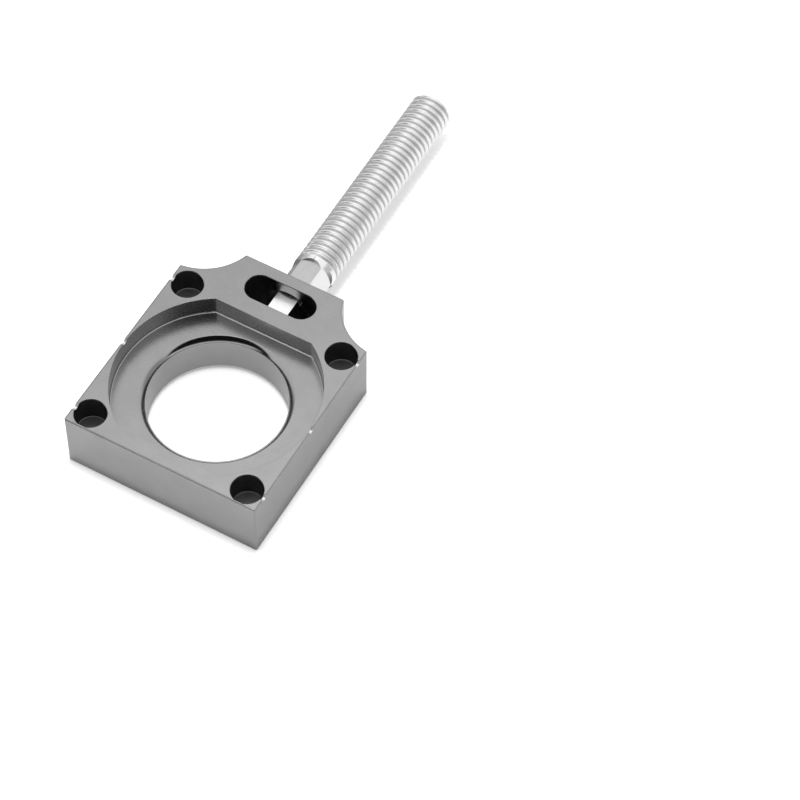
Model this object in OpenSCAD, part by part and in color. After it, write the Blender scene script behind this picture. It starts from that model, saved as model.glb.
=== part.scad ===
// Chain adjuster of a motorcycle's rear axle: a machined aluminium axle block and its steel stud.
// The origin is where the axle's line crosses the stud's line, at half the block's thickness.
// +Z is the axle's line and points out of the recessed face, and +Y points along the stud.

/* [Block] */
// Width across the two sides that slide in the swing arm
block_w = 38; // [34:0.5:48]
// Thickness along the axle
block_t = 12.5; // [11:0.5:18]
// Distance from the axle's line to the back end
block_back = 18.9; // [18.6:0.1:26]
// Distance from the axle's line to the shoulders
shoulder_y = 19.2; // [19:0.1:20]
// Length of the neck in front of the shoulders
neck_l = 7.6; // [7.4:0.1:12]
// Width of the neck
neck_w = 20; // [17:0.5:24]
// How far each scallop dips behind the straight line between its two corners
scallop_dip = 1.8; // [1.2:0.1:2.4]
// Radius of the block's upright corners
corner_r = 0.4; // [0.4:0.1:1.5]
// Bevel along the edges of both faces
edge_break = 0.3; // [0.2:0.05:0.35]

/* [Axle bore] */
// Diameter of the bore that the axle passes through
bore_d = 25; // [15:0.5:26]
// Bevel at the bore's mouth in the recess
bore_mouth = 0.9; // [0.2:0.1:1.2]
// Bevel at the bore's mouth in the plain face
bore_foot = 0.8; // [0.2:0.1:1.2]

/* [Axle head recess] */
// Wall left between the recess and each of the block's sides, at its thinnest
side_wall = 0.45; // [0.35:0.05:3]
// Distance between the recess's two flats
recess_flats = 31.6; // [28:0.1:32]
// Depth of the recess
recess_depth = 4; // [2:0.1:4.2]

/* [Corner pockets] */
// Diameter of the blind round pocket in each corner
pocket_d = 5.8; // [4:0.1:6]
// Depth of the pockets
pocket_depth = 5; // [2:0.5:8]
// Distance from each of the block's sides to the middle of a pocket
pocket_side_in = 3.4; // [3.3:0.1:3.8]
// Distance from the block's back end or its shoulders to the middle of a pocket
pocket_end_in = 3.2; // [3.1:0.1:3.5]

/* [Neck slot] */
// Length of the slot across the neck
slot_l = 13.8; // [11:0.1:14.5]
// Width of the slot
slot_w = 5.4; // [3:0.1:5.6]
// Wall left between the slot and the front of the neck
slot_wall = 2.4; // [1.5:0.1:2.8]

/* [Index marks] */
// Width of each mark, cut with a ball-nosed tool
mark_w = 1.3; // [0.6:0.1:1.6]
// Length of each mark from the block's side
mark_l = 2.1; // [1:0.1:3]

/* [Stud] */
// Diameter over the thread
stud_d = 8; // [6:0.5:8]
// Length of the thread, to the tip
thread_l = 43.25; // [20:0.25:90]
// Distance from one crest of the thread to the next
pitch = 1.25; // [0.75:0.25:1.5]
// Diameter of the shank's back end, from which it tapers to the thread's
shank_d = 8.2; // [8.1:0.05:8.5]
// Plain collar between the spanner flats and the thread
collar_l = 0.7; // [0.3:0.1:3]
// Length of the spanner flats in front of the neck, at their middle
flats_l = 6.5; // [4:0.1:20]
// Distance across the six spanner flats
flats_af = 6.9; // [5.5:0.1:6.9]
// Radius of the end mill that cut the flats, which rounds their ends
cutter_r = 2.5; // [2.2:0.1:4]
// Bevel at the stud's tip
tip_break = 1.2; // [0.3:0.1:1.5]
// Diameter of the spigot that seats in the wall behind the slot
spigot_d = 6; // [3:0.5:6]
// Length of the spigot
spigot_l = 2.4; // [1:0.1:2.6]

/* [Clearances] */
// Radial gap between the shank and its hole through the slot's front wall
hole_gap = 0.1; // [0.05:0.05:0.3]
// Radial gap between the spigot and its socket
spigot_gap = 0.02; // [0.01:0.01:0.05]
// Gap past the end of the spigot
socket_gap = 0.1; // [0.1:0.1:0.3]

/* [Hidden] */
$fn = 96;

block_grey = [0.56, 0.57, 0.58];
stud_bright = [0.82, 0.83, 0.85];

// Cuts run this far past the face that they open in
past = 1;
face_z = block_t / 2;
side_x = block_w / 2;
neck_x = neck_w / 2;
neck_front = shoulder_y + neck_l;
recess_d = block_w - 2 * side_wall;
pocket_x = side_x - pocket_side_in;
pocket_back = pocket_end_in - block_back;
pocket_front = shoulder_y - pocket_end_in;

// Each scallop is an arc through the shoulder's corner and the neck's corner
shoulder_p = [side_x, shoulder_y];
neck_p = [neck_x, neck_front];
scallop_chord = norm(shoulder_p - neck_p);
scallop_r = (pow(scallop_chord / 2, 2) + pow(scallop_dip, 2)) / (2 * scallop_dip);
scallop_out = [neck_front - shoulder_y, side_x - neck_x] / scallop_chord;
scallop_c = (shoulder_p + neck_p) / 2 + scallop_out * (scallop_r - scallop_dip);

// Middle of a corner round that touches the scallop from inside the block
round_reach = scallop_r + corner_r;
shoulder_x = side_x - corner_r;
shoulder_c = [shoulder_x, scallop_c.y - sqrt(pow(round_reach, 2) - pow(scallop_c.x - shoulder_x, 2))];
neck_y = neck_front - corner_r;
neck_c = [scallop_c.x - sqrt(pow(round_reach, 2) - pow(scallop_c.y - neck_y, 2)), neck_y];
back_c = [side_x - corner_r, corner_r - block_back];

slot_y = neck_front - slot_wall - slot_w / 2;
slot_back = slot_y - slot_w / 2;
flats_y = neck_front + flats_l;
thread_y = flats_y + collar_l;

// Rings stand in for the thread, with its depth, its crests and its roots
thread_h = 0.6134 * pitch;
crest_w = pitch / 8;
root_w = pitch / 4;
ring_count = ceil(thread_l / pitch);
mark_rows = [pocket_back, 0, pocket_front];

// Profile of a plate seen on its edge, with both faces bevelled
module bevelled_section(low, high) {
    polygon([
        [low + edge_break, -face_z], [high - edge_break, -face_z],
        [high, edge_break - face_z], [high, face_z - edge_break],
        [high - edge_break, face_z], [low + edge_break, face_z],
        [low, face_z - edge_break], [low, edge_break - face_z]
    ]);
}

// Plain plate with sharp upright corners
module plate() {
    intersection() {
        translate([0, neck_front, 0])
            rotate([90, 0, 0])
                linear_extrude(neck_front + block_back)
                    bevelled_section(-side_x, side_x);
        rotate([90, 0, 90])
            linear_extrude(block_w, center = true)
                bevelled_section(-block_back, neck_front);
    }
}

// Round cutter that opens out at both faces, so that the edge it leaves is bevelled
module scallop_cut() {
    flare = edge_break + past;
    translate([scallop_c.x, scallop_c.y, 0])
        rotate_extrude()
            polygon([
                [0, -face_z - past], [scallop_r + flare, -face_z - past],
                [scallop_r, edge_break - face_z], [scallop_r, face_z - edge_break],
                [scallop_r + flare, face_z + past], [0, face_z + past]
            ]);
}

// Round post with the plate's bevels, which a rounded corner keeps
module corner_post() {
    over = (corner_r - edge_break) / 2;
    tip = corner_r - edge_break - over;
    rotate_extrude()
        polygon([
            [0, -face_z - over], [tip, -face_z - over],
            [corner_r, edge_break - face_z], [corner_r, face_z - edge_break],
            [tip, face_z + over], [0, face_z + over]
        ]);
}

// What a rounded corner loses: the wedge from its middle over both touching points, less the post
module corner_cut(middle, touch_a, apex, touch_b) {
    over = (corner_r - edge_break) / 2;
    difference() {
        translate([0, 0, -face_z - over])
            linear_extrude(block_t + 2 * over)
                polygon([middle, touch_a, apex, touch_b]);
        translate([middle.x, middle.y, 0])
            corner_post();
    }
}

// Point where a corner round touches the scallop
function on_scallop(middle) = middle + corner_r * (scallop_c - middle) / round_reach;

// The corners on the +X side
module corner_cuts() {
    corner_cut(back_c, [side_x, back_c.y], [side_x + past, -block_back - past], [back_c.x, -block_back]);
    corner_cut(shoulder_c, [side_x, shoulder_c.y], [side_x + past, shoulder_y + past], on_scallop(shoulder_c));
    corner_cut(neck_c, [neck_c.x, neck_front], [neck_x + past / 2, neck_front + past], on_scallop(neck_c));
}

// Bore for the axle, bevelled at both mouths
module axle_bore() {
    r = bore_d / 2;
    floor_z = face_z - recess_depth;
    translate([0, 0, -face_z - past])
        cylinder(r = r, h = block_t + 2 * past);
    translate([0, 0, floor_z - bore_mouth])
        cylinder(r1 = r, r2 = r + bore_mouth + past, h = bore_mouth + past);
    translate([0, 0, -face_z - past])
        cylinder(r1 = r + bore_foot + past, r2 = r, h = bore_foot + past);
}

// Recess with two flats, which keeps the axle's head from turning
module head_recess() {
    translate([0, 0, face_z - recess_depth])
        linear_extrude(recess_depth + past)
            intersection() {
                circle(d = recess_d);
                square([recess_d + past, recess_flats], center = true);
            }
}

module corner_pockets() {
    for (x = [-pocket_x, pocket_x], y = [pocket_back, pocket_front])
        translate([x, y, face_z - pocket_depth])
            cylinder(d = pocket_d, h = pocket_depth + past);
}

// Slot with round ends through the neck
module neck_slot() {
    end_x = (slot_l - slot_w) / 2;
    translate([0, slot_y, -face_z - past]) {
        for (x = [-end_x, end_x])
            translate([x, 0, 0])
                cylinder(d = slot_w, h = block_t + 2 * past);
        translate([-end_x, -slot_w / 2, 0])
            cube([2 * end_x, slot_w, block_t + 2 * past]);
    }
}

// Hole through the slot's front wall, and the spigot's blind socket behind the slot
module stud_holes() {
    translate([0, slot_y, 0])
        rotate([-90, 0, 0])
            cylinder(d = shank_d + 2 * hole_gap, h = neck_front - slot_y + past);
    translate([0, slot_back - spigot_l - socket_gap, 0])
        rotate([-90, 0, 0])
            cylinder(d = spigot_d + 2 * spigot_gap, h = spigot_l + socket_gap + slot_w / 2);
}

// Short grooves in from both sides, in line with the axle and with the pockets
module index_marks() {
    r = mark_w / 2;
    for (side = [0, 1], y = mark_rows)
        mirror([side, 0, 0])
            translate([side_x - mark_l + r, y, face_z]) {
                rotate([0, 90, 0])
                    cylinder(r = r, h = mark_l - r + past);
                sphere(r = r);
            }
}

module axle_block() {
    color(block_grey)
        difference() {
            plate();
            for (side = [0, 1])
                mirror([side, 0, 0]) {
                    scallop_cut();
                    corner_cuts();
                }
            axle_bore();
            head_recess();
            corner_pockets();
            neck_slot();
            stud_holes();
            index_marks();
        }
}

// Sweep of an end mill along the stud: a flat at its axis's foot, with a round end
module flat_cut() {
    deep = shank_d / 2;
    translate([-cutter_r, slot_back - past, flats_af / 2])
        cube([2 * cutter_r, flats_y - cutter_r - slot_back + past, deep]);
    translate([0, flats_y - cutter_r, flats_af / 2])
        cylinder(r = cutter_r, h = deep);
}

// Row of rings along +Z, which starts and ends on a crest
module thread_rings() {
    r = stud_d / 2;
    flank_w = (pitch - crest_w - root_w) / 2;
    ring = [
        [r, crest_w], [r - thread_h, crest_w + flank_w],
        [r - thread_h, pitch - flank_w], [r, pitch]
    ];
    rotate_extrude()
        polygon(concat(
            [[0, 0], [r, 0]],
            [for (i = [0:ring_count - 1], p = ring) [p.x, p.y + i * pitch]],
            [[0, ring_count * pitch]]
        ));
}

// Space that the thread may fill, with a bevelled tip
module tip_space() {
    r = stud_d / 2;
    rotate_extrude()
        polygon([
            [0, -past], [r + past, -past], [r + past, thread_l - tip_break - past],
            [r - tip_break, thread_l], [0, thread_l]
        ]);
}

module adjuster_stud() {
    color(stud_bright) {
        difference() {
            translate([0, slot_back, 0])
                rotate([-90, 0, 0])
                    cylinder(d1 = shank_d, d2 = stud_d, h = thread_y - slot_back);
            for (turn = [0:60:300])
                rotate([0, turn, 0])
                    flat_cut();
        }
        translate([0, slot_back - spigot_l, 0])
            rotate([-90, 0, 0])
                cylinder(d = spigot_d, h = spigot_l + past);
        translate([0, thread_y, 0])
            rotate([-90, 0, 0])
                intersection() {
                    thread_rings();
                    tip_space();
                }
    }
}

axle_block();
adjuster_stud();
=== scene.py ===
"""Chain adjuster of a motorcycle's rear axle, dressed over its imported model.

X runs across the block, Y along the stud and Z up out of the recessed face. Lengths are in
millimetres, and MM turns them into metres where a mesh, a material, a lamp or the camera needs it.
"""
import math

import bmesh
import bpy
from mathutils import Matrix, Vector


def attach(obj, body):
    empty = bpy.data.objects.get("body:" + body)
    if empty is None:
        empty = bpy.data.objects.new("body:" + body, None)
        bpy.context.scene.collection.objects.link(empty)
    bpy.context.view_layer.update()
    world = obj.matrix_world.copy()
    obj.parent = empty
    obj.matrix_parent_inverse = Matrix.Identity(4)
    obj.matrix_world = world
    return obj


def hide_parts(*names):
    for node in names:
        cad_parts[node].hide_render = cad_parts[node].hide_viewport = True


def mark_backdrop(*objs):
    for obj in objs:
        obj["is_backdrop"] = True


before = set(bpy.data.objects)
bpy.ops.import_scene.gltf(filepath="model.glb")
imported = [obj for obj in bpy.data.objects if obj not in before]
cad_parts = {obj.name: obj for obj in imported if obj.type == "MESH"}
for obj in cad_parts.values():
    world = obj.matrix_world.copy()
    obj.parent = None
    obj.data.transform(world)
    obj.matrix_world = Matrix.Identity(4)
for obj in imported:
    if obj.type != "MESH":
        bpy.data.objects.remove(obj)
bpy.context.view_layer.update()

MM = 0.001

# Block: the same sizes as the solids
FACE_Z = 6.25
SIDE_X, BACK_Y = 19.0, -18.9
SHOULDER_Y, NECK_Y, NECK_X = 19.2, 26.8, 10.0
SCALLOP_DIP, CORNER_R, EDGE_R = 1.8, 0.4, 0.3
BORE_R, BORE_MOUTH, BORE_FOOT = 12.5, 0.9, 0.8
RECESS_R, RECESS_FLAT, FLOOR_Z = 18.55, 15.8, 2.25
POCKET_R, POCKET_X, POCKET_YS, POCKET_Z = 2.9, 15.6, (-15.7, 16.0), 1.25
SLOT_Y, SLOT_L, SLOT_W = 21.7, 13.8, 5.4
MARK_R, MARK_L, MARK_YS = 0.65, 2.1, (-15.7, 0.0, 16.0)

# Hole round the shank, socket round the spigot, and the gap beyond the spigot's end
HOLE_R, SOCKET_R, SOCKET_GAP = 4.2, 3.02, 0.1

# Fine edges: broken mouths of slot and pockets, the recess's lip and foot, the ends of the bore's bevel
BREAK, LIP, FOOT_R, RIM = 0.1, 0.06, 0.22, 0.1
LIP_BEND, RIM_BEND = 0.3, 0.04
FOOT_TURNS = (0.0, 0.39, 0.79, 1.18, math.pi / 2)
# Round between a pocket's wall and its base: offsets and heights over the base
POCKET_FOOT = ((0, 0.3), (-0.06, 0.08), (-0.2, 0))
# An extra row of points this close to an edge keeps the wall beside it flat
HOLD, RECESS_HOLD = 0.15, 0.1

# Stud
STUD_R, SHANK_R, SPIGOT_R, SPIGOT_L = 4.0, 4.1, 3.0, 2.4
SHOULDER_END, FLATS_END, THREAD_START, TIP_Y = 19.0, 33.3, 34.0, 77.25
FLAT_H, CUTTER_R, TIP_BREAK = 3.45, 2.5, 1.2
SPIGOT_BREAK, STEP_BREAK = 0.12, 0.05
PITCH, RUN_IN, SPARE_TURNS = 1.25, 0.9, 3
# Shank and thread reach into each other by the overlap, each with its hidden end sunk in the other
OVERLAP, SHANK_DIP, SHANK_SUNK, THREAD_SUNK = 0.1, 0.02, 0.1, 0.2

# One pitch of the thread, as shares of the pitch and radii: a narrow crest, flanks at about
# 51 degrees to each other and a nearly flat root with rounded corners
THREAD_FORM = [(-0.03, 3.955), (0.0, 3.99), (0.03, 4.0), (0.095, 4.0), (0.125, 3.99), (0.155, 3.955),
               (0.28, 3.625), (0.41, 3.285), (0.45, 3.225), (0.5625, 3.205), (0.675, 3.225), (0.715, 3.285),
               (0.845, 3.625)]

# Points in a full circle, and steps in an arc
BORE_POINTS, POCKET_POINTS, TUBE_POINTS, MARK_POINTS = 160, 64, 96, 32
SHANK_POINTS, THREAD_POINTS = 120, 80
RECESS_STEPS, SLOT_STEPS, SCALLOP_STEPS, CUTTER_STEPS = 48, 24, 40, 40
CORNER_STEPS, BLEND_STEPS, EDGE_STEPS, MARK_STEPS = 10, 8, 4, 8
# Angle of the shank's first point, in degrees
SHANK_PHASE = 1.5

# A cutter reaches this far past the metal, and an end mill this far up from its flat
CLEAR, MILL_H = 1, 2
# Points closer together than this become one
WELD, THREAD_WELD = 0.0001, 0.002

# How near the middle of a face has to lie to the form that it belongs to
TOUCH, NEAR, LOOSE = 0.01, 0.02, 0.05
# The parts of a normal that count as level, as square to the stud, and as neither flat nor upright
LEVEL, SQUARE = 0.999, 0.99
SLANT_LOW, SLANT_HIGH = 0.15, 0.98
# Depths under the face where marks and the walls below a broken mouth begin
MARK_SKIN, MOUTH_DEPTH = 0.005, 0.12
# Band of bare metal along the recess's foot: its start over the floor and its width
FOOT_SKIN, FOOT_BAND = 0.005, 0.3
# A face of the shank is a cutter's step where it leans back by this part of its normal
STEP_LEAN = 0.05
# A face of the thread is root where it lies under this radius, short of the tip's end face
ROOT_R, TIP_SKIN = 3.50, 0.1
# An edge is sharp where its faces turn by this many degrees or more
BLOCK_SHARP, SHANK_SHARP, THREAD_SHARP = 35.0, 18.0, 50.0


# Node helpers
def feed(tree, socket, value):
    """Links a socket to another one, or sets it to a plain value."""
    if isinstance(value, bpy.types.NodeSocket):
        tree.links.new(value, socket)
    else:
        socket.default_value = value


def grey(level):
    return (level, level, level, 1)


def calculate(tree, operation, *values):
    node = tree.nodes.new("ShaderNodeMath")
    node.operation = operation
    for socket, value in zip(node.inputs, values):
        feed(tree, socket, value)
    return node.outputs[0]


def measure(tree, operation, vector, fixed):
    """Distance to a fixed place, or the dot product with a fixed direction."""
    node = tree.nodes.new("ShaderNodeVectorMath")
    node.operation = operation
    node.inputs[1].default_value = fixed
    tree.links.new(vector, node.inputs[0])
    return node.outputs["Value"]


def split(tree, vector):
    """The X, Y and Z of a vector."""
    node = tree.nodes.new("ShaderNodeSeparateXYZ")
    tree.links.new(vector, node.inputs[0])
    return node.outputs


def noise(tree, vector, size, detail, rough):
    node = tree.nodes.new("ShaderNodeTexNoise")
    node.inputs["Scale"].default_value = 1 / (size * MM)
    node.inputs["Detail"].default_value = detail
    node.inputs["Roughness"].default_value = rough
    tree.links.new(vector, node.inputs["Vector"])
    return node.outputs["Fac"]


def ramp(tree, value, low, high, out_low, out_high):
    """Straight change from one number to another while the value goes from low to high."""
    node = tree.nodes.new("ShaderNodeMapRange")
    node.inputs["From Min"].default_value = low
    node.inputs["From Max"].default_value = high
    node.inputs["To Min"].default_value = out_low
    node.inputs["To Max"].default_value = out_high
    tree.links.new(value, node.inputs["Value"])
    return node.outputs["Result"]


def fade(tree, length, start, end, out_start, out_end):
    """The same change over a length whose start and end are in millimetres."""
    return ramp(tree, length, start * MM, end * MM, out_start, out_end)


def blend(tree, factor, dark, light):
    """Colour between two, each a plain one or a socket's."""
    node = tree.nodes.new("ShaderNodeMix")
    node.data_type = "RGBA"
    feed(tree, node.inputs["A"], dark)
    feed(tree, node.inputs["B"], light)
    tree.links.new(factor, node.inputs["Factor"])
    return node.outputs["Result"]


def material(name):
    """New material, with its node tree, its shader and the object's coordinates."""
    mat = bpy.data.materials.new(name)
    mat.use_nodes = True
    tree = mat.node_tree
    coords = tree.nodes.new("ShaderNodeTexCoord")
    return mat, tree, tree.nodes["Principled BSDF"], coords.outputs["Object"]


# Metals

# How much grain and clouds move a metal from its dark grey to its light one
GRAIN_SHARE, CLOUD_SHARE = 0.45, 0.55
# Detail and roughness of the noise behind each, and the part of its range that is used
GRAIN_NOISE, CLOUD_NOISE = (2.0, 0.6), (4.0, 0.55)
NOISE_LOW, NOISE_HIGH = 0.3, 0.7
# Grain moves a metal's roughness between these shares of it
ROUGH_LOW, ROUGH_HIGH = 0.88, 1.12


def metal(name, dark, light, rough, grain, bump, cloud=4.0, stretch=(1, 1, 1), metallic=1.0):
    """Metal with a fine grain in its colour, roughness and bump, and slow clouds over it."""
    mat, tree, shader, coords = material(name)
    mapping = tree.nodes.new("ShaderNodeMapping")
    mapping.inputs["Scale"].default_value = stretch
    tree.links.new(coords, mapping.inputs["Vector"])
    vector = mapping.outputs["Vector"]
    grains = noise(tree, vector, grain, *GRAIN_NOISE)
    clouds = ramp(tree, noise(tree, vector, cloud, *CLOUD_NOISE), NOISE_LOW, NOISE_HIGH, 0.0, CLOUD_SHARE)
    both = calculate(tree, "MULTIPLY_ADD", grains, GRAIN_SHARE, clouds)
    feed(tree, shader.inputs["Base Color"], blend(tree, both, grey(dark), grey(light)))
    uneven = ramp(tree, grains, NOISE_LOW, NOISE_HIGH, rough * ROUGH_LOW, rough * ROUGH_HIGH)
    feed(tree, shader.inputs["Roughness"], uneven)
    feed(tree, shader.inputs["Metallic"], metallic)
    relief = tree.nodes.new("ShaderNodeBump")
    relief.inputs["Strength"].default_value = 1.0
    relief.inputs["Distance"].default_value = bump * MM
    tree.links.new(grains, relief.inputs["Height"])
    tree.links.new(relief.outputs["Normal"], shader.inputs["Normal"])
    return mat


def paint_light_inside(mat, axis, start, end, level):
    """Paints light into a metal: paler up to start from the origin along the axis, and as it was from end on.
    """
    tree = mat.node_tree
    base = tree.nodes["Principled BSDF"].inputs["Base Color"]
    unlit_colour = base.links[0].from_socket
    place = split(tree, tree.nodes["Texture Coordinate"].outputs["Object"])
    outside = fade(tree, calculate(tree, "ABSOLUTE", place[axis]), start, end, 0, 1)
    feed(tree, base, blend(tree, outside, grey(level), unlit_colour))


# The faces are satin, and the walls of slot, hole and pockets are dark with painted shade, fitted to the
# photograph
BLASTED = metal("blasted_aluminium", 0.305, 0.355, rough=0.25, grain=0.16, bump=0.003)
WORN = metal("worn_edge", 0.34, 0.41, rough=0.28, grain=0.16, bump=0.002)
# Bare metal in the marks and on the stud's cutter steps, and a painted highlight on the recess's foot band
BARE_AND_HIGHLIGHT = metal("bare_cut_and_highlight", 0.68, 0.80, rough=0.42, grain=0.10, bump=0.002)
# Painted shade in the pockets and on the bevel at the bore's foot
POCKET_SHADE = metal("pocket_cut_shade", 0.13, 0.18, rough=0.40, grain=0.12, bump=0.002)
# Painted shade on the walls of slot and hole
DEEP_SHADE = metal("deep_cut_shade", 0.02, 0.04, rough=0.60, grain=0.12, bump=0.002)
BORE_EDGE = metal("bore_edge", 0.35, 0.40, rough=0.12, grain=0.16, bump=0.001)
# The slot's front wall is dark with painted shade and pale with a painted reflection over the stud, and the
# flats have painted light, pale inside the slot
SLOT_FRONT_SHADE_AND_REFLECTION = metal("slot_front_shade_and_reflection", 0.02, 0.04, rough=0.45, grain=0.12, bump=0.002)
paint_light_inside(SLOT_FRONT_SHADE_AND_REFLECTION, "X", start=1.5, end=2.6, level=0.62)
ZINC = metal("zinc_plate", 0.88, 0.97, rough=0.20, grain=0.22, bump=0.002, cloud=3.0, stretch=(1, 0.5, 1))
# Painted shade on the flats that look up or down, with painted light on them inside the slot
FLAT_SHADE_AND_LIGHT = metal("milled_flat_shade_and_light", 0.46, 0.54, rough=0.30, grain=0.22, bump=0.002, cloud=3.0, stretch=(3, 0.5, 3))
paint_light_inside(FLAT_SHADE_AND_LIGHT, "Y", start=24.5, end=26.5, level=0.93)
THREAD = metal("rolled_thread", 0.90, 0.98, rough=0.18, grain=0.20, bump=0.001, cloud=2.0,
               stretch=(1, 3, 1), metallic=0.8)
# Painted shade in the thread's roots
ROOT_SHADE = metal("thread_root_shade", 0.61, 0.73, rough=0.36, grain=0.20, bump=0.002, cloud=1.5, metallic=0.8)

BLOCK_METALS = [BLASTED, WORN, BARE_AND_HIGHLIGHT, DEEP_SHADE, POCKET_SHADE, SLOT_FRONT_SHADE_AND_REFLECTION, BORE_EDGE]
SHANK_METALS = [ZINC, FLAT_SHADE_AND_LIGHT, BARE_AND_HIGHLIGHT]
THREAD_METALS = [THREAD, ROOT_SHADE]


# Mesh tools
def new_piece(name, bm, materials):
    mesh = bpy.data.meshes.new(name)
    bmesh.ops.recalc_face_normals(bm, faces=bm.faces)
    bm.to_mesh(mesh)
    bm.free()
    for mat in materials:
        mesh.materials.append(mat)
    piece = bpy.data.objects.new(name, mesh)
    bpy.context.scene.collection.objects.link(piece)
    return piece


def ring(bm, points, z):
    return [bm.verts.new((x * MM, y * MM, z * MM)) for x, y in points]


def bridge(bm, a, b):
    """Quads between two loops of as many points."""
    count = len(a)
    for i in range(count):
        after = (i + 1) % count
        bm.faces.new((a[i], a[after], b[after], b[i]))


def bridge_all(bm, loops):
    for a, b in zip(loops, loops[1:]):
        bridge(bm, a, b)


def loop_edges(bm, loops):
    found = []
    for loop in loops:
        for i, start in enumerate(loop):
            ends = (start, loop[(i + 1) % len(loop)])
            found.append(bm.edges.get(ends) or bm.edges.new(ends))
    return found


def fill(bm, loops):
    """Flat face between an outer loop and the holes in it."""
    bmesh.ops.triangle_fill(bm, use_beauty=True, use_dissolve=False, edges=loop_edges(bm, loops))


def circle(cx, cy, r, count):
    step = 2 * math.pi / count
    return [(cx + r * math.cos(i * step), cy + r * math.sin(i * step)) for i in range(count)]


def arc(cx, cy, r, start, end, steps):
    turns = [start + (end - start) * i / steps for i in range(steps + 1)]
    return [(cx + r * math.cos(turn), cy + r * math.sin(turn)) for turn in turns]


def full_turn(count, phase=0.0):
    return [phase + 2 * math.pi * i / count for i in range(count)]


def quarter_turn(steps, first=0):
    return [math.pi / 2 * i / steps for i in range(first, steps + 1)]


def straight(p, q):
    """A point close to p and one close to q, so that a flat stays flat up to its ends."""
    near = HOLD / math.dist(p, q)
    return [(p[0] + (q[0] - p[0]) * t, p[1] + (q[1] - p[1]) * t) for t in (near, 1 - near)]


def closed(right, left):
    """Loop of two arcs with straight lines between them."""
    return right + straight(right[-1], left[0]) + left + straight(left[-1], right[0])


def double_d(r, flat):
    """Circle of radius r with its top and bottom cut off at y = flat."""
    turn = math.asin(flat / r)
    return closed(arc(0, 0, r, -turn, turn, RECESS_STEPS),
                  arc(0, 0, r, math.pi - turn, math.pi + turn, RECESS_STEPS))


def stadium(cx, cy, length, width):
    r, half = width / 2, (length - width) / 2
    return closed(arc(cx + half, cy, r, -math.pi / 2, math.pi / 2, SLOT_STEPS),
                  arc(cx - half, cy, r, math.pi / 2, 3 * math.pi / 2, SLOT_STEPS))


def wall(bm, make, profile):
    """Joins loops made at each (offset, z) of a profile, and returns the first and the last."""
    loops = [ring(bm, make(offset), z) for offset, z in profile]
    bridge_all(bm, loops)
    return loops[0], loops[-1]


def cut(piece, cutters):
    """Takes the cutters out of a piece, one after another, and removes them."""
    for cutter in cutters:
        step = piece.modifiers.new("cut", "BOOLEAN")
        step.operation, step.solver, step.object = "DIFFERENCE", "EXACT", cutter
    bpy.context.view_layer.update()
    shape = piece.evaluated_get(bpy.context.evaluated_depsgraph_get())
    mesh = bpy.data.meshes.new_from_object(shape)
    piece.modifiers.clear()
    piece.data = mesh
    for cutter in cutters:
        bpy.data.objects.remove(cutter)


def finish_normals(piece, angle, caps=()):
    """Smooth shading, sharp along edges over the angle and round every flat cap."""
    bm = bmesh.new()
    bm.from_mesh(piece.data)
    bmesh.ops.remove_doubles(bm, verts=bm.verts, dist=WELD * MM)
    bmesh.ops.dissolve_degenerate(bm, dist=WELD * MM, edges=bm.edges)

    def is_cap(face):
        z = face.calc_center_median().z / MM
        return abs(face.normal.z) > LEVEL and any(abs(z - cap) < TOUCH for cap in caps)

    for face in bm.faces:
        face.smooth = True
    for edge in bm.edges:
        if len(edge.link_faces) == 2:
            one, other = edge.link_faces
            turn = math.degrees(edge.calc_face_angle(0.0))
            edge.smooth = turn < angle and is_cap(one) == is_cap(other)
    bm.to_mesh(piece.data)
    bm.free()


# Block
def outline():
    """The block's outline as points with their outward normals, anticlockwise from the back."""
    shoulder_tip, neck_tip = Vector((SIDE_X, SHOULDER_Y)), Vector((NECK_X, NECK_Y))
    chord = (shoulder_tip - neck_tip).length
    dip_r = ((chord / 2) ** 2 + SCALLOP_DIP ** 2) / (2 * SCALLOP_DIP)
    outward = Vector((NECK_Y - SHOULDER_Y, SIDE_X - NECK_X)) / chord
    centre = (shoulder_tip + neck_tip) / 2 + outward * (dip_r - SCALLOP_DIP)
    reach = dip_r + CORNER_R
    corner_x, corner_y = SIDE_X - CORNER_R, NECK_Y - CORNER_R
    shoulder = Vector((corner_x, centre.y - math.sqrt(reach ** 2 - (centre.x - corner_x) ** 2)))
    neck = Vector((centre.x - math.sqrt(reach ** 2 - (centre.y - corner_y) ** 2), corner_y))
    back = Vector((corner_x, BACK_Y + CORNER_R))

    def rounded(middle, start, end, steps):
        return [((x, y), ((x - middle.x) / CORNER_R, (y - middle.y) / CORNER_R))
                for x, y in arc(middle.x, middle.y, CORNER_R, start, end, steps)]

    def flat(p, q, normal):
        return [(point, normal) for point in straight(p, q)]

    to_shoulder = math.atan2(*(centre - shoulder).yx)
    to_neck = math.atan2(*(centre - neck).yx)
    dip = arc(centre.x, centre.y, dip_r, to_shoulder - math.pi, to_neck - math.pi, SCALLOP_STEPS)[1:-1]
    right = rounded(back, -math.pi / 2, 0, CORNER_STEPS)
    right += flat((SIDE_X, back.y), (SIDE_X, shoulder.y), (1, 0))
    right += rounded(shoulder, 0, to_shoulder, BLEND_STEPS)
    right += [((x, y), ((centre.x - x) / dip_r, (centre.y - y) / dip_r)) for x, y in dip]
    right += rounded(neck, to_neck, math.pi / 2, BLEND_STEPS)
    left = [((-x, y), (-nx, ny)) for (x, y), (nx, ny) in reversed(right)]
    front = flat((neck.x, NECK_Y), (-neck.x, NECK_Y), (0, 1))
    rear = flat((-back.x, BACK_Y), (back.x, BACK_Y), (0, -1))
    return right + front + left + rear


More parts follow.
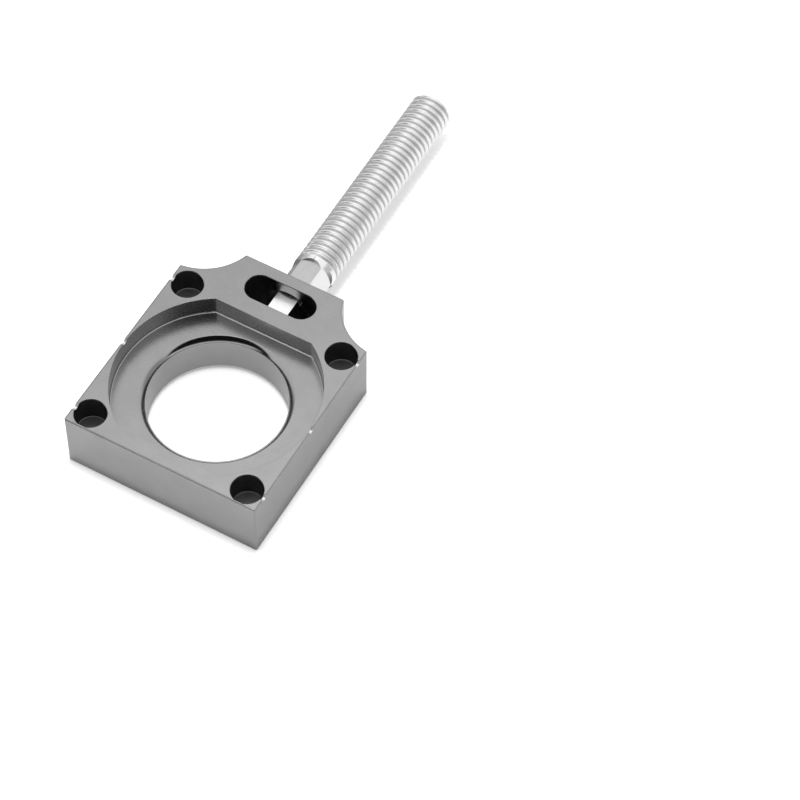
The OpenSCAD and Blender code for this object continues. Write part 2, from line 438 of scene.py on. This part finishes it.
def sides(bm):
    """Outer walls with rounded edges, from the face above to the one below."""
    line = outline()
    edge = [(EDGE_R * (1 - math.sin(turn)), FACE_Z + EDGE_R * (math.cos(turn) - 1))
            for turn in quarter_turn(EDGE_STEPS)]
    profile = edge + [(0, FACE_Z - EDGE_R - HOLD), (0, -FACE_Z + EDGE_R + HOLD)]
    profile += [(offset, -z) for offset, z in reversed(edge)]
    return wall(bm, lambda offset: [(x - nx * offset, y - ny * offset) for (x, y), (nx, ny) in line], profile)


def recess_walls(bm):
    """Double-D walls from the lip at the face down to the rounded foot at the recess's floor."""
    profile = [(LIP, FACE_Z), (LIP * LIP_BEND, FACE_Z - LIP * LIP_BEND), (0, FACE_Z - LIP)]
    profile += [(0, FACE_Z - LIP - RECESS_HOLD), (0, FLOOR_Z + FOOT_R + RECESS_HOLD)]
    profile += [(-FOOT_R * (1 - math.cos(turn)), FLOOR_Z + FOOT_R * (1 - math.sin(turn)))
                for turn in FOOT_TURNS]
    return wall(bm, lambda offset: double_d(RECESS_R + offset, RECESS_FLAT + offset), profile)


def bore_walls(bm):
    """Bore from the bevel of its mouth, at the recess's floor, down to the bevel of its foot."""
    start, foot = FLOOR_Z - BORE_MOUTH, -FACE_Z + BORE_FOOT
    profile = [(BORE_MOUTH + RIM, FLOOR_Z), (BORE_MOUTH, FLOOR_Z - RIM_BEND), (RIM * 0.5, start + RIM_BEND)]
    profile += [(0, start - RIM), (0, start - RIM - HOLD), (0, foot + HOLD), (0, foot), (BORE_FOOT, -FACE_Z)]
    return wall(bm, lambda offset: circle(0, 0, BORE_R + offset, BORE_POINTS), profile)


def mouth(z, inward):
    """Profile of a broken edge at the face z, where inward is -1 from above and 1 from below."""
    return [(BREAK, z), (0, z + inward * BREAK), (0, z + inward * (BREAK + HOLD))]


def pocket_walls(bm, x, y):
    """Blind round pocket with its base, of which the loop at the face is returned."""
    profile = mouth(FACE_Z, -1) + [(offset, POCKET_Z + height) for offset, height in POCKET_FOOT]
    top, base = wall(bm, lambda offset: circle(x, y, POCKET_R + offset, POCKET_POINTS), profile)
    fill(bm, [base])
    return top


def slot_walls(bm):
    profile = mouth(FACE_Z, -1) + mouth(-FACE_Z, 1)[::-1]
    return wall(bm, lambda offset: stadium(0, SLOT_Y, SLOT_L + 2 * offset, SLOT_W + 2 * offset), profile)


def tube_cutter(name, y0, y1, r):
    """Rod along the stud's axis."""
    bm = bmesh.new()
    ends = [[bm.verts.new((x * MM, y * MM, z * MM)) for x, z in circle(0, 0, r, TUBE_POINTS)]
            for y in (y0, y1)]
    bridge(bm, *ends)
    for end in ends:
        bm.faces.new(end)
    return new_piece("cut_" + name, bm, [])


def mark_cutter(sign, y):
    """Ball-ended groove in from the side."""
    bm = bmesh.new()
    start = SIDE_X - MARK_L + MARK_R
    rows = [(start - MARK_R * math.cos(turn), MARK_R * math.sin(turn))
            for turn in quarter_turn(MARK_STEPS, 1)]
    rows.append((SIDE_X + CLEAR, MARK_R))
    rings = [[bm.verts.new((sign * x * MM, (y + r * math.cos(turn)) * MM, (FACE_Z + r * math.sin(turn)) * MM))
              for turn in full_turn(MARK_POINTS)] for x, r in rows]
    bridge_all(bm, rings)
    tip = bm.verts.new((sign * (start - MARK_R) * MM, y * MM, FACE_Z * MM))
    for i, vert in enumerate(rings[0]):
        bm.faces.new((vert, rings[0][(i + 1) % MARK_POINTS], tip))
    bm.faces.new(rings[-1])
    return new_piece("cut_mark", bm, [])


def block_metal(face):
    """Metal of one of the block's faces, told by its middle and its slope."""
    x, y, z = (value / MM for value in face.center)
    off_axis = math.hypot(x, y)
    slanted = SLANT_LOW < abs(face.normal.z) < SLANT_HIGH
    below_mouth = z < FACE_Z - MOUTH_DEPTH

    in_mark = abs(x) > SIDE_X - MARK_L - TOUCH and z < FACE_Z - MARK_SKIN
    in_mark = in_mark and any(math.hypot(y - mark, z - FACE_Z) < MARK_R + TOUCH for mark in MARK_YS)
    # The marks are bare metal; the band along the recess's foot beside its flats is a painted highlight
    highlit_foot = slanted and FLOOR_Z + FOOT_SKIN < z < FLOOR_Z + FOOT_BAND
    if in_mark or (highlit_foot and abs(y) > RECESS_FLAT - FOOT_BAND):
        return BARE_AND_HIGHLIGHT

    # Walls of slot and hole: painted shade, with a painted reflection on the front wall over the stud
    in_hole = SLOT_Y < y < NECK_Y - TOUCH and math.hypot(x, z) < HOLE_R + TOUCH
    in_slot = abs(y - SLOT_Y) < SLOT_W / 2 + LOOSE and abs(x) < SLOT_L / 2 + LOOSE
    if in_hole or (in_slot and z > NEAR - FACE_Z and below_mouth):
        over_stud = y > SLOT_Y + SLOT_W / 2 - NEAR and abs(x) < STUD_R and abs(face.normal.y) > SQUARE
        return SLOT_FRONT_SHADE_AND_REFLECTION if over_stud else DEEP_SHADE

    if slanted and FLOOR_Z - BORE_MOUTH - RIM < z < FLOOR_Z and off_axis < BORE_R + BORE_MOUTH + RIM:
        return BORE_EDGE

    # Painted shade on the bevel at the bore's foot and on the pockets' walls and bases
    shaded_bore_foot = slanted and z < -FACE_Z + BORE_FOOT + RIM and off_axis < BORE_R + BORE_FOOT + LOOSE
    in_pocket = any(math.hypot(abs(x) - POCKET_X, y - middle) < POCKET_R + NEAR for middle in POCKET_YS)
    if shaded_bore_foot or (in_pocket and z > POCKET_Z - TOUCH and below_mouth):
        return POCKET_SHADE
    return WORN if slanted and abs(abs(z) - FACE_Z) < EDGE_R + LOOSE else BLASTED


def block():
    bm = bmesh.new()
    top_out, bottom_out = sides(bm)
    recess_top, recess_floor = recess_walls(bm)
    bore_top, bore_bottom = bore_walls(bm)
    fill(bm, [recess_floor, bore_top])
    pockets = [pocket_walls(bm, x, y) for x in (-POCKET_X, POCKET_X) for y in POCKET_YS]
    slot_top, slot_bottom = slot_walls(bm)
    fill(bm, [top_out, slot_top, recess_top] + pockets)
    fill(bm, [bottom_out, slot_bottom, bore_bottom])
    piece = new_piece("block_body", bm, BLOCK_METALS)

    cutters = [tube_cutter("hole", SLOT_Y, NECK_Y + CLEAR, HOLE_R)]
    cutters.append(tube_cutter("socket", SHOULDER_END - SPIGOT_L - SOCKET_GAP, SLOT_Y, SOCKET_R))
    cutters += [mark_cutter(sign, y) for sign in (-1, 1) for y in MARK_YS]
    cut(piece, cutters)
    finish_normals(piece, BLOCK_SHARP, caps=(FACE_Z, -FACE_Z, FLOOR_Z, POCKET_Z))
    for face in piece.data.polygons:
        face.material_index = BLOCK_METALS.index(block_metal(face))
    return piece


# Stud
def lathe(bm, profile, count, phase):
    """Turned solid along Y from (y, r) points."""
    rings = [[bm.verts.new((r * math.sin(turn) * MM, y * MM, r * math.cos(turn) * MM))
              for turn in full_turn(count, phase)] for y, r in profile]
    bridge_all(bm, rings)
    bm.faces.new(rings[0])
    bm.faces.new(rings[-1])


def flat_cutter(turn):
    """Sweep of an end mill over one of the six flats."""
    bm = bmesh.new()
    start = SHOULDER_END - CLEAR
    side = [(CUTTER_R, start)] + arc(0, FLATS_END - CUTTER_R, CUTTER_R, 0, math.pi, CUTTER_STEPS)
    side.append((-CUTTER_R, start))
    turned = Matrix.Rotation(math.radians(turn), 3, "Y")
    rings = [[bm.verts.new(turned @ Vector((x, y, z)) * MM) for x, y in side]
             for z in (FLAT_H, FLAT_H + MILL_H)]
    bridge(bm, *rings)
    for loop in rings:
        bm.faces.new(loop)
    return new_piece("cut_flat", bm, [])


def shank_metal(face):
    """Darker metal painted as shade on the milled flats that look up or down, bare metal on the cutters'
    round steps.
    """
    x, y, z = (value / MM for value in face.center)
    if abs(face.normal.z) > LEVEL:
        return FLAT_SHADE_AND_LIGHT
    at_step = y > FLATS_END - CUTTER_R and face.normal.y < -STEP_LEAN and math.hypot(x, z) > FLAT_H
    return BARE_AND_HIGHLIGHT if at_step else ZINC


def shank():
    bm = bmesh.new()
    base = SHOULDER_END - SPIGOT_L
    profile = [(base, SPIGOT_R - SPIGOT_BREAK), (base + SPIGOT_BREAK, SPIGOT_R), (SHOULDER_END, SPIGOT_R)]
    profile += [(SHOULDER_END, SHANK_R - STEP_BREAK), (SHOULDER_END + STEP_BREAK, SHANK_R)]
    profile += [(THREAD_START - STEP_BREAK, STUD_R), (THREAD_START, STUD_R - SHANK_DIP)]
    profile += [(THREAD_START + OVERLAP, STUD_R - SHANK_SUNK)]
    lathe(bm, profile, SHANK_POINTS, math.radians(SHANK_PHASE))
    piece = new_piece("stud_shank", bm, SHANK_METALS)
    cut(piece, [flat_cutter(turn) for turn in range(0, 360, 60)])
    for face in piece.data.polygons:
        face.material_index = SHANK_METALS.index(shank_metal(face))
    finish_normals(piece, SHANK_SHARP)
    return piece


def thread_radius(y, r):
    """Radius r of the thread's form, faded in where the thread starts and rounded off at the tip."""
    if y <= THREAD_START - OVERLAP:
        return SHANK_R - THREAD_SUNK
    full = min(1.0, max(0.0, (y - THREAD_START) / RUN_IN))
    full = full * full * (3 - 2 * full)
    r = STUD_R - (STUD_R - r) * full
    into = y - (TIP_Y - TIP_BREAK)
    if into > 0:
        r = min(r, STUD_R - TIP_BREAK * (1 - math.sqrt(max(0.0, 1 - (into / TIP_BREAK) ** 2))))
    return r


def thread_row(bm, base, r, first):
    """One turn of a helix, held between the thread's first and last place."""
    row = []
    for i, turn in enumerate(full_turn(THREAD_POINTS)):
        y = min(max(base + PITCH * i / THREAD_POINTS, first), TIP_Y)
        at = thread_radius(y, r)
        row.append(bm.verts.new((at * math.sin(turn) * MM, y * MM, at * math.cos(turn) * MM)))
    return row


def thread():
    """Rolled thread as one helical sheet, closed at both ends."""
    bm = bmesh.new()
    form = len(THREAD_FORM)
    first = THREAD_START - OVERLAP
    turns = int((TIP_Y - THREAD_START) / PITCH) + SPARE_TURNS
    rows = [thread_row(bm, first - PITCH + (turn + share) * PITCH, r, first)
            for turn in range(turns) for share, r in THREAD_FORM]
    for row, next_turn in zip(rows, rows[form:]):
        row.append(next_turn[0])
    for row, after in zip(rows, rows[1:]):
        for i in range(min(len(row), len(after)) - 1):
            bm.faces.new((row[i], row[i + 1], after[i + 1], after[i]))
    bmesh.ops.remove_doubles(bm, verts=bm.verts, dist=THREAD_WELD * MM)
    bmesh.ops.delete(bm, geom=[vert for vert in bm.verts if not vert.link_faces], context="VERTS")
    bmesh.ops.holes_fill(bm, edges=[edge for edge in bm.edges if len(edge.link_faces) == 1], sides=0)
    piece = new_piece("stud_thread", bm, THREAD_METALS)
    for face in piece.data.polygons:
        x, y, z = (value / MM for value in face.center)
        # The roots are painted darker as shade between the turns
        in_root = math.hypot(x, z) < ROOT_R and y < TIP_Y - TIP_SKIN
        face.material_index = THREAD_METALS.index(ROOT_SHADE if in_root else THREAD)
    finish_normals(piece, THREAD_SHARP)
    return piece


block_body = block()
stud_shank = shank()
stud_thread = thread()
for piece, node, slot in ((block_body, "axle_block", "anodised_aluminium"),
                          (stud_shank, "adjuster_stud", "plated_steel"),
                          (stud_thread, "adjuster_stud", "plated_steel")):
    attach(piece, "root")
    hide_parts(node)
for node, mat in (("axle_block", BLASTED), ("adjuster_stud", ZINC)):
    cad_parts[node].data.materials.clear()
    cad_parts[node].data.materials.append(mat)


# Floor

FLOOR_SIZE, FLOOR_DROP = 4000, 0.02
FLOOR_ROUGH, FLOOR_SPECULAR = 0.9, 0.1
# Its grey, the darker grey painted as shade into what metal mirrors of it, and what it adds to the camera's
# view
FLOOR_GREY, MIRRORED_SHADE_GREY, FLOOR_GLOW = 0.8, 0.26, 0.36
# Painted light: the glow it gives only to metal that mirrors it, at the block and at the stud, and where the
# one becomes the other
BLOCK_GLOW, STUD_GLOW, GLOW_CHANGE = 0.04, 0.08, (25, 30)
# None of that glow within the first distance of the slot's middle, which leaves painted shade there, and all
# of it from the second on
SLOT_DARK = (6.5, 9)
# Painted shade at the stud's left, seen only in what metal mirrors: its middle, its fading reach, and its
# fading border in X
LEFT_SHADE_PATCH, LEFT_REACH, LEFT_BORDER = (-25, 50, 0), (24, 30), (-29, -24)
# Fainter painted shade in what metal mirrors, which fades in up to the block's right side and stays beyond it
RIGHT_SHADE, RIGHT_BORDER = 0.19, (14, 19)


def pale_floor():
    """White to the camera; to metal that mirrors it, a painted glow, and painted shade at the slot and beside
    the stud.
    """
    mat, tree, shader, coords = material("pale_floor")
    shader.inputs["Roughness"].default_value = FLOOR_ROUGH
    shader.inputs["Specular IOR Level"].default_value = FLOOR_SPECULAR
    shader.inputs["Emission Color"].default_value = grey(1)
    place = split(tree, coords)
    path = tree.nodes.new("ShaderNodeLightPath").outputs
    from_slot = measure(tree, "DISTANCE", coords, Vector((0, SLOT_Y, 0)) * MM)
    from_shade_patch = measure(tree, "DISTANCE", coords, Vector(LEFT_SHADE_PATCH) * MM)

    pale = calculate(tree, "MULTIPLY", fade(tree, from_shade_patch, *LEFT_REACH, 0, 1),
                     fade(tree, place["X"], *LEFT_BORDER, 0, 1))
    shade = calculate(tree, "ADD", ramp(tree, pale, 0, 1, 1, 0),
                      fade(tree, place["X"], *RIGHT_BORDER, 0, RIGHT_SHADE))
    mirrored = calculate(tree, "MULTIPLY", path["Is Glossy Ray"], shade)
    feed(tree, shader.inputs["Base Color"], blend(tree, mirrored, grey(FLOOR_GREY), grey(MIRRORED_SHADE_GREY)))

    glow = calculate(tree, "MULTIPLY", fade(tree, from_slot, *SLOT_DARK, 0, 1),
                     fade(tree, place["Y"], *GLOW_CHANGE, BLOCK_GLOW, STUD_GLOW))
    glow = calculate(tree, "MULTIPLY", glow, pale)
    to_camera = ramp(tree, path["Is Camera Ray"], 0, 1, 0, FLOOR_GLOW)
    seen = calculate(tree, "MULTIPLY_ADD", path["Is Glossy Ray"], glow, to_camera)
    feed(tree, shader.inputs["Emission Strength"], seen)

    # Clear from below, so that the underside can be looked at
    one_sided = tree.nodes.new("ShaderNodeMixShader")
    tree.links.new(tree.nodes.new("ShaderNodeNewGeometry").outputs["Backfacing"], one_sided.inputs[0])
    tree.links.new(shader.outputs[0], one_sided.inputs[1])
    tree.links.new(tree.nodes.new("ShaderNodeBsdfTransparent").outputs[0], one_sided.inputs[2])
    tree.links.new(one_sided.outputs[0], tree.nodes["Material Output"].inputs["Surface"])
    return mat


def floor():
    """Flat ground just under the block, which keeps its shadow."""
    bm = bmesh.new()
    half = FLOOR_SIZE / 2
    corners = [(-half, -half), (half, -half), (half, half), (-half, half)]
    bm.faces.new(ring(bm, corners, -(FACE_Z + FLOOR_DROP)))
    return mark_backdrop(new_piece("floor", bm, [pale_floor()]))


floor()


# Lamps
def softbox(name, position, side, power, mirrored):
    """Square lamp that looks at the origin."""
    light = bpy.data.lights.new(name, "AREA")
    light.shape = "RECTANGLE"
    light.size = side * MM
    light.size_y = side * MM
    light.energy = power
    lamp = bpy.data.objects.new(name, light)
    lamp.location = Vector(position) * MM
    lamp.visible_glossy = mirrored
    lamp.rotation_euler = (-Vector(position)).to_track_quat("-Z", "Y").to_euler()
    bpy.context.scene.collection.objects.link(lamp)


softbox("key", (-80, 60, 600), 500, 0.55, mirrored=True)
softbox("overhead", (-10, 20, 600), 80, 1.8, mirrored=False)

# World: a pale tent with a dark opening towards the camera, which the satin walls mirror
TENT, OPENING = 0.94, 0.01
OPENING_TOWARDS, OPENING_EDGE = (0.45, -0.80, -0.10), (0.26, 0.33)
# Pale sill below the opening, which ends towards the left
SILL_TOP, SILL_LEFT = (0.30, 0.42), (-0.50, -0.25)
# Grey cards behind the stud on the right and far out on the left, and where each fades in
CARD = 0.55
CARDS = (((0.83, 0.50, 0.18), (0.86, 0.95)), ((-0.86, 0.50, 0.02), (0.80, 0.93)))


def towards(tree, heading, direction):
    return measure(tree, "DOT_PRODUCT", heading, Vector(direction).normalized())


def studio():
    world = bpy.data.worlds.new("studio")
    world.use_nodes = True
    tree = world.node_tree
    heading = tree.nodes.new("ShaderNodeTexCoord").outputs["Generated"]
    height = split(tree, heading)
    tent = ramp(tree, towards(tree, heading, OPENING_TOWARDS), *OPENING_EDGE, TENT, OPENING)
    sill = calculate(tree, "MULTIPLY", ramp(tree, height["Z"], *SILL_TOP, TENT, 0),
                     ramp(tree, height["X"], *SILL_LEFT, 0, 1))
    strength = calculate(tree, "MAXIMUM", tent, sill)
    for direction, edge in CARDS:
        card = ramp(tree, towards(tree, heading, direction), *edge, 1, CARD)
        strength = calculate(tree, "MULTIPLY", strength, card)
    # White to the camera
    path = tree.nodes.new("ShaderNodeLightPath").outputs
    strength = calculate(tree, "MAXIMUM", strength, path["Is Camera Ray"])
    feed(tree, tree.nodes["Background"].inputs["Strength"], strength)
    tree.nodes["Background"].inputs["Color"].default_value = grey(1)
    return world


bpy.context.scene.world = studio()
bpy.context.scene.view_settings.view_transform = "Standard"

# Camera measured from the photograph: its right, down and forward directions and its place
RIGHT = Vector((0.8714455, 0.4903875, 0.010137))
DOWN = Vector((0.4085832, -0.7143304, -0.5681477))
AHEAD = Vector((-0.2713714, 0.4992516, -0.8228641))
CAMERA_AT = Vector((179.1940703, -263.3647876, 461.7388366))
SENSOR_WIDTH, LENS = 36.0, 145.1445
CLIP_START, CLIP_END = 10, 20000


def photo_camera():
    data = bpy.data.cameras.new("camera")
    data.sensor_fit = "HORIZONTAL"
    data.sensor_width = SENSOR_WIDTH
    data.lens = LENS
    data.clip_start = CLIP_START * MM
    data.clip_end = CLIP_END * MM
    camera = bpy.data.objects.new("camera", data)
    axes = Matrix((RIGHT, -DOWN, -AHEAD)).transposed().to_4x4()
    camera.matrix_world = Matrix.Translation(CAMERA_AT * MM) @ axes
    bpy.context.scene.collection.objects.link(camera)
    return camera


bpy.context.scene.camera = photo_camera()
